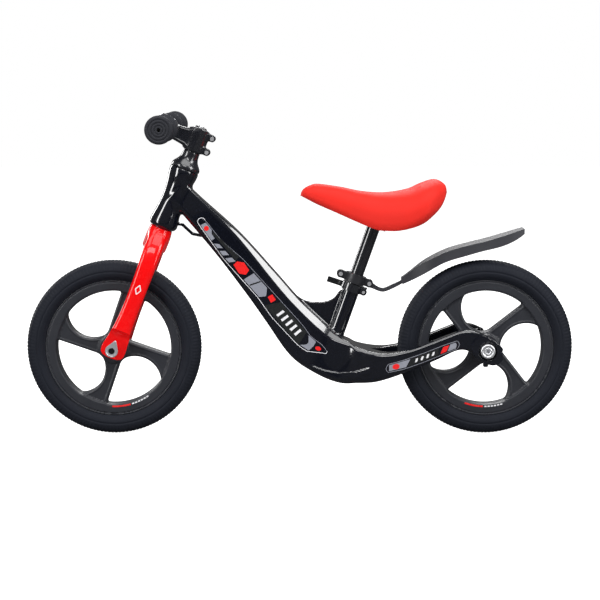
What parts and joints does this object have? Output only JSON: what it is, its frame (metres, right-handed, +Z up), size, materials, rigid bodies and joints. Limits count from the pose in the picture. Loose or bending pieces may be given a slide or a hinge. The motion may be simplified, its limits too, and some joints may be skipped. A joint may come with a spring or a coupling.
{
  "type": "balance_bike",
  "caption": "Child's balance bike with a cast beam frame, turning fork, bladed foam wheels, height-adjustable saddle and a rear mudguard",
  "frame": {"origin": "on the ground, midway between the two axles, in the bike's middle plane", "axes": "+Z up, front wheel towards -X, +Y to the rider's right"},
  "size_m": [0.905, 0.376, 0.5319],
  "materials": {
    "frame_black": "high gloss black lacquer",
    "fork_red": "high gloss red lacquer",
    "black_alloy": "semi gloss black paint",
    "post_black": "gloss black enamel",
    "zinc_steel": "bright zinc plate",
    "bearing_steel": "ground",
    "tyre_foam": "matte closed cell foam",
    "wheel_plastic": "satin moulded",
    "mudguard_plastic": "satin moulded",
    "black_plastic": "satin moulded",
    "grip_rubber": "matte",
    "saddle_red": "matte soft skin"
  },
  "bodies": {
    "frame": {"frame_casting": "frame_black", "lower_head_bearing": "bearing_steel", "upper_head_bearing": "bearing_steel", "rear_axle": "zinc_steel", "rear_axle_spacers": "zinc_steel", "rear_axle_bolts": "zinc_steel", "seat_clamp_collar": "black_alloy", "quick_release_skewer": "zinc_steel", "quick_release_nut": "black_alloy", "quick_release_washer": "zinc_steel", "quick_release_pin": "zinc_steel", "mudguard_clamp_left": "black_plastic", "mudguard_clamp_right": "black_plastic", "mudguard_clamp_bolt": "zinc_steel", "mudguard_pivot_bolt": "zinc_steel"},
    "steering": {"fork": "fork_red", "fork_steerer": "zinc_steel", "crown_race": "zinc_steel", "compression_ring": "zinc_steel", "headset_cone": "black_alloy", "headset_spacer": "black_alloy", "stem": "black_alloy", "stem_faceplate": "black_alloy", "stem_face_bolts": "zinc_steel", "stem_pinch_bolts": "zinc_steel", "stem_top_cap": "black_plastic", "stem_cap_bolt": "zinc_steel", "front_axle": "zinc_steel", "front_axle_spacers": "zinc_steel", "retention_washers": "zinc_steel", "front_axle_nuts": "zinc_steel"},
    "handlebar_set": {"handlebar": "post_black", "grip_left": "grip_rubber", "grip_right": "grip_rubber"},
    "front_wheel": {"front_wheel_casting": "wheel_plastic", "front_tyre": "tyre_foam", "front_wheel_bearings": "bearing_steel", "front_hub_spacer": "zinc_steel"},
    "rear_wheel": {"rear_wheel_casting": "wheel_plastic", "rear_tyre": "tyre_foam", "rear_wheel_bearings": "bearing_steel", "rear_hub_spacer": "zinc_steel"},
    "seat_group": {"seatpost": "post_black", "seatpost_flange": "black_alloy", "saddle_base": "black_plastic", "saddle_pad": "saddle_red", "saddle_screws": "zinc_steel"},
    "mudguard_set": {"mudguard_arm": "mudguard_plastic", "mudguard": "mudguard_plastic", "mudguard_screws": "zinc_steel"},
    "release_lever": {"quick_release_lever": "black_alloy"}
  },
  "joints": [
    {"name": "steering_turn", "type": "hinge", "parent": "frame", "child": "steering", "pos_m": [-0.20786, 0, 0.39163], "axis": [0.3746, 0, 0.9272], "range_deg": [-75, 75]},
    {"name": "front_wheel_spin", "type": "hinge", "parent": "steering", "child": "front_wheel", "pos_m": [-0.3075, 0, 0.145], "axis": [0, 1, 0], "continuous": true},
    {"name": "rear_wheel_spin", "type": "hinge", "parent": "frame", "child": "rear_wheel", "pos_m": [0.3075, 0, 0.145], "axis": [0, 1, 0], "continuous": true},
    {"name": "handlebar_tilt", "type": "hinge", "parent": "steering", "child": "handlebar_set", "pos_m": [-0.21674, 0, 0.50846], "axis": [0, 1, 0], "range_deg": [-15, 15]},
    {"name": "seat_height", "type": "slide", "parent": "frame", "child": "seat_group", "axis": [0.3322, 0, 0.9432], "range_m": [-0.045, 0.04]},
    {"name": "mudguard_tilt", "type": "hinge", "parent": "frame", "child": "mudguard_set", "pos_m": [0.11504, 0, 0.25077], "axis": [0, -1, 0], "range_deg": [-3, 8]},
    {"name": "quick_release_turn", "type": "hinge", "parent": "frame", "child": "release_lever", "pos_m": [0.10501, 0.02, 0.23733], "axis": [-0.3322, 0, -0.9432], "range_deg": [0, 150]}
  ]
}
